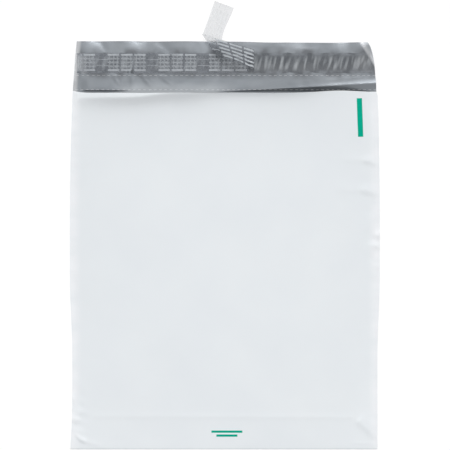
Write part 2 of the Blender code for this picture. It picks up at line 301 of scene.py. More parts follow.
# Floor, and the glow that the camera sees on it
FLOOR_SIZE = 6.0
FLOOR_GLOW = 1.09
FLOOR_GLOW_SHARE = 0.7

# Photograph
PHOTO_PIXELS = 450
PIXEL_SIZE = 0.907 * MM
LENS = 100.0
SENSOR = 36.0
CAMERA_X = 0.27 * MM
CAMERA_REACH = 10.0

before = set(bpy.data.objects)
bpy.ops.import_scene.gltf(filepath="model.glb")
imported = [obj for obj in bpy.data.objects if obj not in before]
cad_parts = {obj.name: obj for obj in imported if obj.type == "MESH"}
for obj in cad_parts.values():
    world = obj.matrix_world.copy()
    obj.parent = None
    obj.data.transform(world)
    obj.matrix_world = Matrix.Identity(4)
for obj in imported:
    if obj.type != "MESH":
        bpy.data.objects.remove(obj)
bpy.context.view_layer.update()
film_low, film_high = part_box("mailer_film")
liner_low, liner_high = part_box("release_liner")

BAG_WIDTH = film_high.x - film_low.x
BOTTOM_Y = film_low.y
FLAP_END_Y = film_high.y
TAIL_TIP_Y = liner_high.y
MOUTH_Y = FLAP_END_Y - FLAP_LENGTH
WIDEST_Y = BOTTOM_Y + WIDEST_FROM_BOTTOM
TEAR_ROW_Y = MOUTH_Y + TEAR_ROW_FROM_MOUTH
MOUTH_ROW_Y = MOUTH_Y + MOUTH_ROW_FROM_MOUTH
ADHESIVE_LOW_Y = TEAR_ROW_Y + ADHESIVE_FROM_TEAR_ROW
ADHESIVE_HIGH_Y = ADHESIVE_LOW_Y + ADHESIVE_WIDTH
LINER_Y = (ADHESIVE_LOW_Y + ADHESIVE_HIGH_Y) / 2
FOLD_RADIUS = (FILM + LAYER_GAP) / 2
FRONT_Z = BACK_Z + 2 * FOLD_RADIUS
FOLD_Y = BOTTOM_Y + FILM / 2 + FOLD_RADIUS


# Shape of the film


def smooth_step(value):
    """Ease from 0 to 1, held at both ends."""
    held = np.clip(value, 0.0, 1.0)
    return held * held * (3 - 2 * held)


def bell(value):
    """A smooth bump of height 1 and width about 1."""
    return np.exp(-value * value)


def half_width(y):
    """Half of the bag's width at a place along it, without the rounded flap corner."""
    from_taper = BOTTOM_Y + TAPER_FROM_BOTTOM - y
    below = BOTTOM_TAPER * smooth_step(from_taper / (TAPER_FROM_BOTTOM - NARROW_FROM_BOTTOM))
    above = MOUTH_TAPER * ((y - WIDEST_Y) / (MOUTH_Y - WIDEST_Y)) ** 2
    flap = MOUTH_TAPER + FLAP_TAPER * (y - MOUTH_Y) / FLAP_LENGTH
    taper = np.where(y < WIDEST_Y, below, np.where(y < MOUTH_Y, above, flap))
    return BAG_WIDTH / 2 - taper


def corner_cut(y):
    """How far the rounded right-hand flap corner pulls the edge in."""
    along = np.clip((y - (FLAP_END_Y - CORNER_ARC_LENGTH)) / CORNER_ARC_LENGTH, 0.0, 1.0)
    return CORNER_ARC_WIDTH * (1 - np.sqrt(1 - along * along))


def left_flare(y):
    """How far the panel's left edge stands out, most of all at the bottom corner."""
    return LEFT_FLARE_LEAST + LEFT_FLARE * bell((y - BOTTOM_Y) / LEFT_FLARE_REACH)


def right_flare(y):
    """How far the panel's right edge stands out past the flap's, most of all just below the mouth."""
    below = MOUTH_Y - y
    flare = RIGHT_FLARE_LEAST + RIGHT_FLARE * bell(below / RIGHT_FLARE_REACH)
    return smooth_step(below / RIGHT_FLARE_START) * flare


def across(u, y, inset=0.0):
    """Place across the bag, from the left edge at u = 0 to the right edge at u = 1."""
    left = -half_width(y) + inset - left_flare(y)
    right = half_width(y) - inset - corner_cut(y) + right_flare(y)
    return left + (right - left) * u


def crease(x, y, start, end, height, width, upper=1.0):
    """A soft ridge along a line, fading out at both ends. Lengths are in millimetres.

    Its upper side is as many times wider than the lower one as upper says.
    """
    start_x, start_y = start[0] * MM, start[1] * MM
    run_x, run_y = end[0] * MM - start_x, end[1] * MM - start_y
    length = np.hypot(run_x, run_y)
    along = ((x - start_x) * run_x + (y - start_y) * run_y) / length
    beside = ((y - start_y) * run_x - (x - start_x) * run_y) / length
    past_end = np.maximum(0.0, np.abs(along - length / 2) - length / 2)
    reach = max(3.0, width) * MM
    side_width = np.where(beside > 0, upper, 1.0) * width * MM
    return height * MM * bell(beside / side_width) * bell(past_end / reach)


def waves(x, y, seed, count, shortest, longest):
    """A sum of sine waves in seeded directions, from -1 to 1. Wavelengths are in millimetres."""
    rng = np.random.default_rng(seed)
    total = np.zeros(np.broadcast(x, y).shape)
    for _ in range(count):
        wavelength = np.exp(rng.uniform(np.log(shortest), np.log(longest))) * MM
        heading = rng.uniform(0, 2 * pi)
        phase = rng.uniform(0, 2 * pi)
        total += np.sin(2 * pi * (x * cos(heading) + y * sin(heading)) / wavelength + phase)
    return total / count


# Creases of the front panel: start, end, height and width in millimetres, and how much wider above
FRONT_CREASES = (
    ((108, 58), (128, 57.3), 0.20, 1.0, 5.0),
    ((128, 57.3), (142, 53.0), 0.55, 1.0, 5.0),
    ((104, 30.5), (126, 30), 0.20, 1.2, 5.0),
    ((126, 30), (142, 25.5), 0.50, 1.2, 5.0),
    ((-144, -185.5), (-129, -195.5), 0.60, 0.9, 3.2),
    ((-129, -196), (-114, -201), 0.20, 0.9, 3.2),
    ((123, -178.5), (143, -196.5), 0.60, 3.6, 2.4),
    ((-117, -173), (114, -174), 0.14, 2.5, 1.0),
    ((118, -197.5), (138, -198), 0.2, 1.1, 1.0),
)

# Creases of the flap: start, end, height and width, in millimetres
FLAP_CREASES = (
    ((-99, 134), (-93, 124), 1.15, 1.6),
    ((-84, 138), (-83, 125), 0.95, 1.5),
    ((-73, 134), (-66, 125), 0.95, 1.7),
    ((-56, 134), (-44, 124), 0.75, 2.0),
    ((-113, 166), (-108, 159), -0.25, 2.6),
    ((-60, 166), (-50, 158), -0.35, 3.0),
    ((52, 160), (80, 158), 0.15, 2.8),
    ((20, 163), (60, 162.5), 0.12, 2.6),
    ((92, 131), (134, 134.5), 0.10, 2.0),
)

# Bumps along a line across the bag: middle, width and height, in millimetres
END_ROLLS = (
    (-116, 9, 1.1),
    (-78, 10, 1.1),
    (-12, 14, 0.8),
    (68, 8, 0.7),
    (105, 10, 0.9),
)
LIP_BUMPS = (
    (103, 25, 2.5),
    (-139, 8, 1.2),
)


def bumps(x, rows, total=0.0):
    """A total with the bumps of some rows added to it."""
    for middle, width, height in rows:
        total = total + height * MM * bell((x - middle * MM) / (width * MM))
    return total


def crest_y(x):
    """The line of the crease that runs across the flap, close to the mouth."""
    return MOUTH_Y + np.maximum(RIDGE_LEAST_FROM_MOUTH, RIDGE_FROM_MOUTH + RIDGE_SLANT * x)


def past_corner_fold(x, y):
    """How far a place lies past the soft fold that runs across the flap's right corner."""
    run_x, run_y = CORNER_FOLD_END[0] - CORNER_FOLD_START[0], CORNER_FOLD_END[1] - CORNER_FOLD_START[1]
    length = np.hypot(run_x, run_y)
    from_x, from_y = x - CORNER_FOLD_START[0] * MM, y - CORNER_FOLD_START[1] * MM
    return (from_y * run_x - from_x * run_y) / length


def flap_detail(x, y):
    """Small waves and creases of the flap, whose edges drop on the left and at its free end."""
    detail = FLAP_LIFT + FLAP_WAVE * waves(x * 1.4, y * 0.7, seed=5, count=7, shortest=26, longest=80)
    for start, end, height, width in FLAP_CREASES:
        detail = detail + crease(x, y, start, end, height, width)
    from_left = x + half_width(y)
    from_end = FLAP_END_Y - y
    detail = detail - LEFT_DROP * np.exp(-from_left / LEFT_DROP_REACH)
    detail = detail - bumps(x, END_ROLLS, END_DROP) * np.exp(-from_end / END_DROP_REACH)
    past_fold = past_corner_fold(x, y)
    detail = detail - CORNER_SLOPE * (past_fold + np.hypot(past_fold, CORNER_SOFTNESS) - CORNER_SOFTNESS)
    return detail * smooth_step((y - MOUTH_Y) / FLAP_WAVE_RUN) + pleat(x, y)


def pleat(x, y):
    """A tight pleat of the back film just above the mouth, at the left."""
    starting = smooth_step((x - PLEAT_START_X) / PLEAT_START_RUN)
    ending = smooth_step((PLEAT_END_X - x) / PLEAT_END_RUN)
    above = np.maximum(0.0, y - MOUTH_Y - PLEAT_FROM_MOUTH)
    return PLEAT * starting * ending * smooth_step(above / PLEAT_STEP) * np.exp(-above / PLEAT_FADE)


def kept_above(value, softness):
    """The value where it is above 0, and softly held near 0 where it is below."""
    return 0.5 * (value + np.hypot(value, softness))


def back_height(x, y):
    """Height of the middle of the back film, raised a little on the flap."""
    crest = crest_y(x)
    ridge = RIDGE_HEIGHT * smooth_step((x - RIDGE_START_X) / (RIDGE_FULL_X - RIDGE_START_X))
    rising = np.clip((y - MOUTH_Y) / (crest - MOUTH_Y), 0.0, 1.0)
    falling = np.clip(1 - (y - crest) / (TEAR_ROW_Y - crest), 0.0, 1.0) ** RIDGE_FALL
    height = ridge * np.where(y < crest, rising, falling)
    along_flap = np.clip((y - TEAR_ROW_Y) / (FLAP_END_Y - TEAR_ROW_Y), 0.0, 1.0)
    height = height + FLAP_HUMP * np.sin(pi * along_flap) ** 2
    corner_x = half_width(np.asarray(FLAP_END_Y))
    nearness = 1 - np.hypot(x - corner_x, y - FLAP_END_Y) / CURL_REACH
    height = height + CURL_LIFT * np.maximum(0.0, nearness) ** 2
    lifted = kept_above(height + flap_detail(x, y), 0.05 * MM)
    return BACK_Z + np.where(y > MOUTH_Y - LIP_WANDER, lifted, 0.0)


def crown_height(y):
    """Rise of the front panel along its middle line."""
    from_bottom = np.clip((y - BOTTOM_Y) / BOTTOM_RUN, 0.0, 1.0)
    return CROWN * (1 - (1 - from_bottom) ** BOTTOM_ROUNDING)


def lip_form(x, y):
    """The lip of the front panel: rolled over on the left, flared up in the middle."""
    depth = np.maximum(0.0, MOUTH_Y - y)
    narrowing = smooth_step((x - ROLL_NARROWS_X) / ROLL_NARROWS_RUN)
    from_lip = ROLL_FROM_LIP - ROLL_NARROWING * narrowing
    past_roll = np.maximum(0.0, depth - from_lip) / ROLL_RUN
    before_roll = np.maximum(0.0, from_lip - depth) / (2 * from_lip)
    rolled = LIP_ROLL * np.exp(-past_roll ** ROLL_ROUNDING) * bell(before_roll)
    flared = LIP_FLARE * np.exp(-depth / LIP_RUN)
    left = smooth_step((ROLL_ENDS_X - x) / ROLL_ENDS_RUN)
    right = smooth_step((x - FLARE_ENDS_X) / FLARE_ENDS_RUN)
    rising = MOUTH_RISE * np.exp(-depth / MOUTH_RUN)
    return left * rolled + (1 - left) * (1 - right) * flared + rising


def front_detail(x, y):
    """Creases and soft waves of the front panel."""
    detail = PANEL_WAVE * waves(x, y, seed=11, count=8, shortest=60, longest=190)
    detail = detail + PANEL_RIPPLE * waves(x, y, seed=12, count=9, shortest=16, longest=40)
    for start, end, height, width, upper in FRONT_CREASES:
        detail = detail + crease(x, y, start, end, height, width, upper)
    return detail


def puckers(x, y):
    """Small puckers of the front panel along its welds."""
    from_edge = half_width(y) - np.abs(x)
    at_right = bell((y - RIGHT_PUCKERS_Y) / RIGHT_PUCKERS_REACH)
    at_left = bell((y - LEFT_PUCKERS_Y) / LEFT_PUCKERS_REACH)
    most = np.where(x > 0, at_right, at_left)
    uneven = 0.55 + 0.45 * np.sin(y / (19 * MM) + x / (9 * MM))
    share = (PUCKER_LEAST + (1 - PUCKER_LEAST) * most) * uneven
    folds = waves(x * 0.55, y, seed=23, count=7, shortest=7, longest=22)
    return PUCKER * folds * share * bell(from_edge / PUCKER_REACH)


def front_height(x, y):
    """Height of the middle of the front film."""
    share = np.minimum(1.0, np.abs(x) / (half_width(y) - WELD_WIDTH))
    body = 1 - share ** SIDE_ROUNDING
    shape = crown_height(y) * body + lip_form(x, y) * np.sqrt(np.maximum(body, 0.0))
    loose = smooth_step((half_width(y) - np.abs(x)) / LOOSE_FROM_SIDE)
    loose = loose * smooth_step((y - BOTTOM_Y) / LOOSE_FROM_BOTTOM)
    detail = front_detail(x, y) * (WELDED_DETAIL + (1 - WELDED_DETAIL) * loose) + puckers(x, y)
    lowest = -DEEPEST_DETAIL * shape
    return FRONT_Z + shape + lowest + kept_above(detail - lowest, 0.1 * MM)


# Materials


class Nodes:
    """Short names for the shader nodes that the materials below are made of."""

    def __init__(self, name):
        self.material = bpy.data.materials.new(name)
        self.material.use_nodes = True
        self.tree = self.material.node_tree
        self.shader = self.tree.nodes["Principled BSDF"]

    def put(self, socket, value):
        if isinstance(value, bpy.types.NodeSocket):
            self.tree.links.new(value, socket)
        else:
            socket.default_value = value

    def add(self, kind, inputs, output=0, **settings):
        node = self.tree.nodes.new(kind)
        for key, value in settings.items():
            setattr(node, key, value)
        for key, value in inputs.items():
            self.put(node.inputs[key], value)
        return node.outputs[output]

    def math(self, operation, first, second=0.0):
        return self.add("ShaderNodeMath", {0: first, 1: second}, operation=operation)

    def times(self, first, second):
        return self.math("MULTIPLY", first, second)

    def rest(self, share):
        """What a share leaves of 1."""
        return self.math("SUBTRACT", 1.0, share)

    def place(self, scale=(1.0, 1.0, 1.0), source="Object", turn=0.0):
        coordinates = self.tree.nodes.new("ShaderNodeTexCoord").outputs[source]
        turned = self.add("ShaderNodeMapping", {"Vector": coordinates, "Rotation": (0.0, 0.0, turn)})
        return self.add("ShaderNodeMapping", {"Vector": turned, "Scale": scale})

    def along(self, axis, source="Object"):
        """The place along one axis."""
        return self.add("ShaderNodeSeparateXYZ", {"Vector": self.place(source=source)}, output=axis)

    def noise(self, vector, scale, detail=2.0):
        return self.add("ShaderNodeTexNoise", {"Vector": vector, "Scale": scale, "Detail": detail})

    def spread(self, value, low, high):
        """Bring a noise value, mostly between 0.3 and 0.7, into a range."""
        inputs = {"Value": value, "From Min": 0.3, "From Max": 0.7, "To Min": low, "To Max": high}
        return self.add("ShaderNodeMapRange", inputs)

    def ramp(self, value, start, end, least=0.0, eased=False):
        """Go from least at start to 1 at end, held on both sides."""
        inputs = {"Value": value, "From Min": start, "From Max": end, "To Min": least}
        kind = "SMOOTHSTEP" if eased else "LINEAR"
        return self.add("ShaderNodeMapRange", inputs, interpolation_type=kind)

    def wander(self, noise, colors):
        """A colour that wanders between two as a noise does."""
        return self.mix(self.spread(noise, 0.0, 1.0), *colors)

    def mix(self, share, first, second):
        node = self.tree.nodes.new("ShaderNodeMix")
        node.data_type = "RGBA"
        self.put(node.inputs["Factor"], share)
        self.put(node.inputs["A"], first if isinstance(first, bpy.types.NodeSocket) else (*first, 1.0))
        self.put(node.inputs["B"], second if isinstance(second, bpy.types.NodeSocket) else (*second, 1.0))
        return node.outputs["Result"]

    def bump(self, height, distance, strength=1.0, normal=None):
        inputs = {"Height": height, "Distance": distance, "Strength": strength}
        if normal:
            inputs["Normal"] = normal
        return self.add("ShaderNodeBump", inputs)

    def set(self, **inputs):
        for key, value in inputs.items():
            self.put(self.shader.inputs[key.replace("_", " ")], value)


def film_bump(made, cockle_depth):
    """Fine orange peel, soft cockling and drawn lines of blown film."""
    peel = made.noise(made.place(), 1500.0)
    cockle = made.noise(made.place(), 160.0, 1.0)
    lines = made.noise(made.place((1.0, 0.02, 1.0)), 420.0, 1.0)
    normal = made.bump(peel, 0.004 * MM, 0.6)
    normal = made.bump(lines, 0.006 * MM, 0.5, normal)
    return made.bump(cockle, cockle_depth, 0.8, normal)


def near_sides(made, reach):
    """1 at the left and right edges of the bag, fading out to 0 at a distance from them."""
    edge = BAG_WIDTH / 2 - MOUTH_TAPER
    return made.ramp(made.math("ABSOLUTE", made.along("X")), edge - reach, edge, eased=True)


def white_film_material():
    """Opaque white outside of the film, faintly blue and satin."""
    made = Nodes("white_film")
    color = made.wander(made.noise(made.place(), 16.0, 3.0), WHITE_FILM)
    patchy = made.spread(made.noise(made.place((0.3, 1.0, 1.0)), 70.0, 2.0), 0.3, 1.0)
    # Painted sheen: the colour turns paler in patches towards both side edges
    color = made.mix(made.times(near_sides(made, EDGE_SHEEN_REACH), patchy), color, WHITE_EDGE_SHEEN)
    rough = made.spread(made.noise(made.place(), 90.0), 0.36, 0.46)
    made.set(Base_Color=color, Roughness=rough, Normal=film_bump(made, 0.03 * MM))
    made.set(IOR=1.5)
    return made.material


def corner_highlight_share(made):
    """Share of painted highlight: 1 along the soft fold across the flap's right corner, less past it and
    0 on the flap.
    """
    from_zero = past_corner_fold(0.0, 0.0)
    each_x = float(past_corner_fold(1.0, 0.0) - from_zero)
    each_y = float(past_corner_fold(0.0, 1.0) - from_zero)
    past = made.math("ADD", made.times(made.along("X"), each_x), made.times(made.along("Y"), each_y))
    past = made.math("ADD", past, float(from_zero))
    light = made.ramp(past, *CORNER_LIGHT, eased=True)
    return made.times(light, made.ramp(past, *CORNER_FADE, least=CORNER_FADE_LEAST))


def smeared_share(made):
    """Blotches of thin adhesive on the film, close to both long sides of the adhesive stripe."""
    from_middle = made.math("ABSOLUTE", made.math("SUBTRACT", made.along("Y"), LINER_Y))
    beside = made.ramp(from_middle, ADHESIVE_WIDTH / 2 + SMEAR_REACH, ADHESIVE_WIDTH / 2)
    blotch = made.spread(made.noise(made.place((1.0, 0.6, 1.0)), 75.0, 2.0), -0.5, 1.6)
    smeared = made.times(beside, made.math("MAXIMUM", blotch, 0.0))
    return made.math("MINIMUM", smeared, 1.0)


def mouth_light_share(made):
    """Share of painted light: 1 along the mouth row, left of the middle, fading out above it."""
    near_mouth = made.ramp(made.along("Y"), MOUTH_Y + MOUTH_LIGHT_REACH, MOUTH_Y)
    past_start = made.ramp(made.along("X"), *MOUTH_LIGHT_STARTS)
    before_end = made.ramp(made.along("X"), *MOUTH_LIGHT_ENDS)
    return made.times(made.times(near_mouth, past_start), before_end)


def flap_edge_highlight_share(made):
    """Share of painted highlight: 1 along the left edge of the flap, fading out over a narrow strip."""
    slope = FLAP_TAPER / FLAP_LENGTH
    leaning = made.times(made.math("SUBTRACT", made.along("Y"), MOUTH_Y), slope)
    from_middle = made.math("SUBTRACT", leaning, made.along("X"))
    edge = BAG_WIDTH / 2 - MOUTH_TAPER
    return made.ramp(from_middle, edge - FLAP_STRIP, edge - FLAP_STRIP / 3, eased=True)


def grey_film_material():
    """Silver-grey inside of the film, glossier than the outside."""
    made = Nodes("grey_film")
    color = made.wander(made.noise(made.place(), 34.0, 3.0), GREY_FILM)
    color = made.mix(smeared_share(made), color, GREY_SMEARED)
    # Painted light: paler grey along the mouth row, left of the middle
    color = made.mix(mouth_light_share(made), color, GREY_MOUTH_LIGHT)
    # Painted highlight along the flap's left edge
    color = made.mix(flap_edge_highlight_share(made), color, GREY_EDGE_HIGHLIGHT)
    # Painted highlight along the soft fold across the flap's right corner
    color = made.mix(corner_highlight_share(made), color, GREY_CORNER_HIGHLIGHT)
    rough = made.spread(made.noise(made.place(), 120.0), 0.30, 0.42)
    made.set(Base_Color=color, Roughness=rough, Normal=film_bump(made, 0.06 * MM))
    made.set(IOR=1.5, Metallic=0.55)
    return made.material


def middle_share(made):
    """1 along the middle of the adhesive stripe, fading out towards its long sides."""
    inputs = {"Value": made.along("Y"), "From Min": LINER_Y, "From Max": ADHESIVE_HIGH_Y - 1.5 * MM}
    beside = made.add("ShaderNodeMapRange", inputs, clamp=False)
    far = made.math("POWER", made.math("ABSOLUTE", beside), 2.5)
    return made.math("MAXIMUM", made.rest(far), 0.0)


def adhesive_material():
    """Clear tacky adhesive over the grey film: darker, wet-looking, rippled and thin at its edges."""
    made = Nodes("adhesive")
    color = made.wander(made.noise(made.place((1.0, 0.35, 1.0)), 90.0, 2.0), ADHESIVE_COLOR)
    middle = middle_share(made)
    slanted = made.place((1.0, 0.16, 1.0), turn=radians(12))
    streak = made.spread(made.noise(slanted, 280.0, 1.5), -0.8, 1.10)
    color = made.mix(made.times(made.math("MAXIMUM", streak, 0.0), middle), color, ADHESIVE_STREAK)
    # Painted highlight at the adhesive's left end
    left_end = made.ramp(made.along("X"), left_end_x() + ADHESIVE_END_RUN, left_end_x())
    color = made.mix(left_end, color, ADHESIVE_END_HIGHLIGHT)
    patches = made.spread(made.noise(made.place(), 110.0, 1.5), -0.4, 1.6)
    patches = made.math("MINIMUM", made.math("MAXIMUM", patches, 0.0), 1.0)
    thin = made.math("POWER", made.rest(middle), 2.5)
    color = made.mix(made.times(thin, patches), color, ADHESIVE_THIN)
    # Painted highlight along the soft fold across the flap's right corner, over the adhesive too
    color = made.mix(corner_highlight_share(made), color, GREY_CORNER_HIGHLIGHT)
    ripple = made.noise(made.place((1.0, 0.22, 1.0)), 210.0, 1.0)
    rough = made.spread(made.noise(made.place(), 200.0), 0.18, 0.34)
    made.set(Base_Color=color, Roughness=rough, Normal=made.bump(ripple, 0.12 * MM, 0.8))
    made.set(IOR=1.48, Coat_Weight=0.4, Coat_Roughness=0.15)
    return made.material


def band(made, value, low, high):
    """1 where a value lies between two limits, and 0 elsewhere."""
    above = made.math("GREATER_THAN", value, low)
    return made.times(above, made.math("LESS_THAN", value, high))


def repeat(made, value, period, shift=0.0):
    """The value's place inside its period, in the value's own units."""
    moved = made.math("ADD", value, shift)
    return made.times(made.math("FRACT", made.math("DIVIDE", moved, period)), period)


def liner_print(made, along, side):
    """Two plain patterns: rows of dashes in groups with thin lines between them, and even uprights."""
    place = repeat(made, along, GROUP_PERIOD, GROUP_SHIFT)
    in_group = made.math("LESS_THAN", place, GROUP_LENGTH)
    place_in_dash = repeat(made, place, DASH_PERIOD)
    in_dash = made.times(in_group, made.math("LESS_THAN", place_in_dash, DASH_LENGTH))
    in_row = made.math("LESS_THAN", repeat(made, side, ROW_PERIOD, ROW_SHIFT), ROW_HEIGHT)
    lines = made.math("MAXIMUM", band(made, side, *LOWER_LINE), band(made, side, *UPPER_LINE))
    lines = made.times(lines, made.rest(in_group))
    dashes = made.math("MAXIMUM", made.times(in_row, in_dash), lines)
    place_in_upright = repeat(made, place_in_dash, UPRIGHT_PERIOD, UPRIGHT_SHIFT)
    in_stroke = made.math("LESS_THAN", place_in_upright, UPRIGHT_WIDTH)
    past_start = made.math("GREATER_THAN", along, BARE_START)
    dashes = made.times(dashes, made.times(past_start, band(made, side, *PRINT_SPAN)))
    uprights = made.times(made.times(in_stroke, in_dash), band(made, side, *UPRIGHT_SPAN))
    return dashes, made.times(uprights, past_start)


def liner_material():
    """Thin translucent film with a printed white pattern."""
    made = Nodes("liner_film")
    along = made.along("X", "UV")
    side = made.along("Y", "UV")
    peeled = made.math("GREATER_THAN", along, (PEEL_X - left_end_x()) / MM)
    past_crease = made.math("GREATER_THAN", along, liner_length_to_crease() / MM)
    past_flap = made.math("GREATER_THAN", made.along("Y"), FLAP_END_Y)
    run_past_flap = made.times(past_flap, made.rest(past_crease))

    haze = made.spread(made.noise(made.place(), 60.0, 2.0), 0.160, 0.200)
    haze = made.times(haze, made.rest(made.times(past_crease, 0.16)))
    haze = made.times(haze, made.rest(made.times(run_past_flap, 0.5)))

    from_middle = made.math("ABSOLUTE", made.math("SUBTRACT", side, LINER_WIDTH / MM / 2))
    outer = made.math("GREATER_THAN", from_middle, OUTER_ROWS_FROM_MIDDLE)
    dense = made.math("ADD", 0.75, made.times(peeled, 1.25))
    dense = made.math("MAXIMUM", made.times(outer, 1.4), dense)
    dense = made.times(dense, made.rest(made.times(past_crease, 0.85)))
    dash_ink = made.spread(made.noise(made.place(source="UV"), 0.12, 1.0), 0.19, 0.31)
    stroke_ink = made.spread(made.noise(made.place(), 40.0, 1.0), 0.15, 0.21)
    dashes, uprights = liner_print(made, along, side)
    dashes = made.times(dashes, made.times(dash_ink, dense))
    uprights = made.times(made.times(uprights, made.rest(peeled)), stroke_ink)
    printed = made.math("MAXIMUM", dashes, uprights)

    alpha = made.math("ADD", haze, made.times(printed, made.rest(haze)))
    # Painted shade: the peeled run over the flap gets a darker ground
    shaded_run = made.math("SUBTRACT", made.math("SUBTRACT", peeled, past_crease), run_past_flap)
    ground = made.mix(shaded_run, LINER_COLOR, LINER_RUN_SHADE)
    color = made.mix(made.math("DIVIDE", printed, alpha), ground, LINER_INK)
    wrinkle = made.noise(made.place(), 260.0, 2.0)
    rough = made.spread(made.noise(made.place(), 400.0), 0.25, 0.4)
    made.set(Base_Color=color, Roughness=rough, Alpha=alpha, Normal=made.bump(wrinkle, 0.03 * MM, 0.5))
    made.set(IOR=1.5)
    return made.material


def ink_material():
    """Flat green ink, a little uneven as it is when printed on film."""
    made = Nodes("green_ink")
    cloud = made.noise(made.place(), 500.0, 3.0)
    rough = made.spread(made.noise(made.place(), 900.0), 0.45, 0.55)
    made.set(Base_Color=made.wander(cloud, GREEN_INK), Roughness=rough)
    made.set(Normal=made.bump(cloud, 0.01 * MM, 0.5))
    made.set(Specular_IOR_Level=0.05)
    return made.material


def floor_material():
    """A pale floor that shows white to the camera and keeps the object's shadow."""
    made = Nodes("pale_floor")
    made.set(Base_Color=made.wander(made.noise(made.place(), 300.0, 2.0), FLOOR_COLOR))
    made.set(Roughness=0.9, Specular_IOR_Level=0.1)
    glow = made.tree.nodes.new("ShaderNodeEmission")
    glow.inputs["Color"].default_value = (1.0, 1.0, 1.0, 1.0)
    glow.inputs["Strength"].default_value = FLOOR_GLOW
    blend = made.tree.nodes.new("ShaderNodeMixShader")
    made.put(blend.inputs["Fac"], made.times(seen_share(made.tree), FLOOR_GLOW_SHARE))
    made.put(blend.inputs[1], made.shader.outputs["BSDF"])
    made.put(blend.inputs[2], glow.outputs["Emission"])
    made.put(made.tree.nodes["Material Output"].inputs["Surface"], blend.outputs["Shader"])
    return made.material


def seen_share(tree):
    """1 for rays from the camera, from gloss and through clear film, and 0 for light on things."""
    path = tree.nodes.new("ShaderNodeLightPath")
    total = path.outputs["Is Camera Ray"]
    for name in ("Is Glossy Ray", "Is Transmission Ray"):
        add = tree.nodes.new("ShaderNodeMath")
        add.operation = "MAXIMUM"
        tree.links.new(total, add.inputs[0])
        tree.links.new(path.outputs[name], add.inputs[1])
        total = add.outputs[0]
    return total


# Pieces


def grid_faces(row_count, column_count, skip=()):
    """Four-sided faces between the points of a grid, apart from those to skip."""
    faces = []
    stride = column_count + 1
    for row in range(row_count):
        for column in range(column_count):
            if (row, column) in skip:
                continue
            corner = row * stride + column
            faces.append((corner, corner + 1, corner + stride + 1, corner + stride))
    return faces


def sheet_piece(name, points, materials, thickness, skip=(), uv=None, inside=0):
    """A closed thin piece from rows of points, thickened about its middle."""
    rows, columns = points.shape[0] - 1, points.shape[1] - 1
    mesh = bpy.data.meshes.new(name)
    mesh.from_pydata(points.reshape(-1, 3).tolist(), [], grid_faces(rows, columns, skip))
    if uv is not None:
        layer = mesh.uv_layers.new(name="ribbon")
        flat = uv.reshape(-1, 2)
        for loop in mesh.loops:
            layer.data[loop.index].uv = flat[loop.vertex_index]
    mesh.shade_smooth()
    piece = bpy.data.objects.new(name, mesh)
    bpy.context.scene.collection.objects.link(piece)
    for item in materials:
        mesh.materials.append(item)
    solidify = piece.modifiers.new("thickness", "SOLIDIFY")
    solidify.thickness = thickness
    solidify.offset = 0.0
    solidify.use_even_offset = True
    solidify.material_offset = inside
    solidify.material_offset_rim = 0
    apply_modifiers(piece)
    return piece


def apply_modifiers(piece):
    """Turn the piece's modifiers into plain mesh."""
    bpy.context.view_layer.update()
    graph = bpy.context.evaluated_depsgraph_get()
    finished = bpy.data.meshes.new_from_object(piece.evaluated_get(graph))
    finished.set_sharp_from_angle(angle=SHARP_ANGLE)
    piece.modifiers.clear()
    piece.data = finished


def steps(start, end, step):
    """Even steps from start towards end, without the end itself."""
    count = max(1, round(abs(end - start) / step))
    return [start + (end - start) * index / count for index in range(count)]


def film_lines():
    """The film's rows from the flap's end, under the bag, round the fold and up to the mouth.

    Gives each row's kind and place, and the numbers of the two rows above the slits.
    """
    half_slot = SLOT_WIDTH / 2
    heights = steps(FLAP_END_Y, ADHESIVE_LOW_Y, FLAP_END_SPACING)
    heights += steps(ADHESIVE_LOW_Y, TEAR_ROW_Y + half_slot, STRIPE_SPACING)
    slit_rows = [len(heights)]
    heights += [TEAR_ROW_Y + half_slot]
    heights += steps(TEAR_ROW_Y - half_slot, MOUTH_ROW_Y + half_slot, MOUTH_SPACING)
    slit_rows.append(len(heights))
    heights += [MOUTH_ROW_Y + half_slot]
    heights += steps(MOUTH_ROW_Y - half_slot, MOUTH_Y, MOUTH_SPACING)
    heights += steps(MOUTH_Y, MOUTH_Y - LIP_WANDER, WANDER_SPACING)
    heights += steps(MOUTH_Y - LIP_WANDER, MOUTH_Y - RIM_DEPTH, RIM_SPACING)
    heights += steps(MOUTH_Y - RIM_DEPTH, FOLD_Y, BACK_SPACING)
    lines = [("back", y) for y in heights]
    lines += [("fold", pi * step / FOLD_STEPS) for step in range(FOLD_STEPS + 1)]
    front = steps(FOLD_Y, BOTTOM_Y + BOTTOM_DEPTH, BOTTOM_SPACING)[1:]
    front += steps(BOTTOM_Y + BOTTOM_DEPTH, MOUTH_Y - LIP_DEPTH, PANEL_SPACING)
    front += steps(MOUTH_Y - LIP_DEPTH, MOUTH_Y, LIP_SPACING) + [MOUTH_Y]
    lines += [("front", y) for y in front]
    return lines, slit_rows


def lip_line(x):
    """How far the lip of the front panel wanders up and down."""
    share = np.minimum(1.0, np.abs(x) / (BAG_WIDTH / 2))
    drawn_in = -LIP_DRAWN_IN * (1 - share ** LIP_SQUARENESS)
    return bumps(x, LIP_BUMPS, drawn_in) + LIP_WAVE * np.sin(x / LIP_WAVE_LENGTH)


def flap_edge_line(x):
    """How far the free end of the flap wanders up and down."""
    falling = END_LINE_FALL * (1 - 2 * smooth_step((x - END_FALL_START_X) / END_FALL_RUN))
    long_wave = END_LINE_WAVE * np.sin(x / END_WAVE_LENGTHS[0] + 0.6)
    return falling + long_wave + END_LINE_WAVE * np.sin(x / END_WAVE_LENGTHS[1])


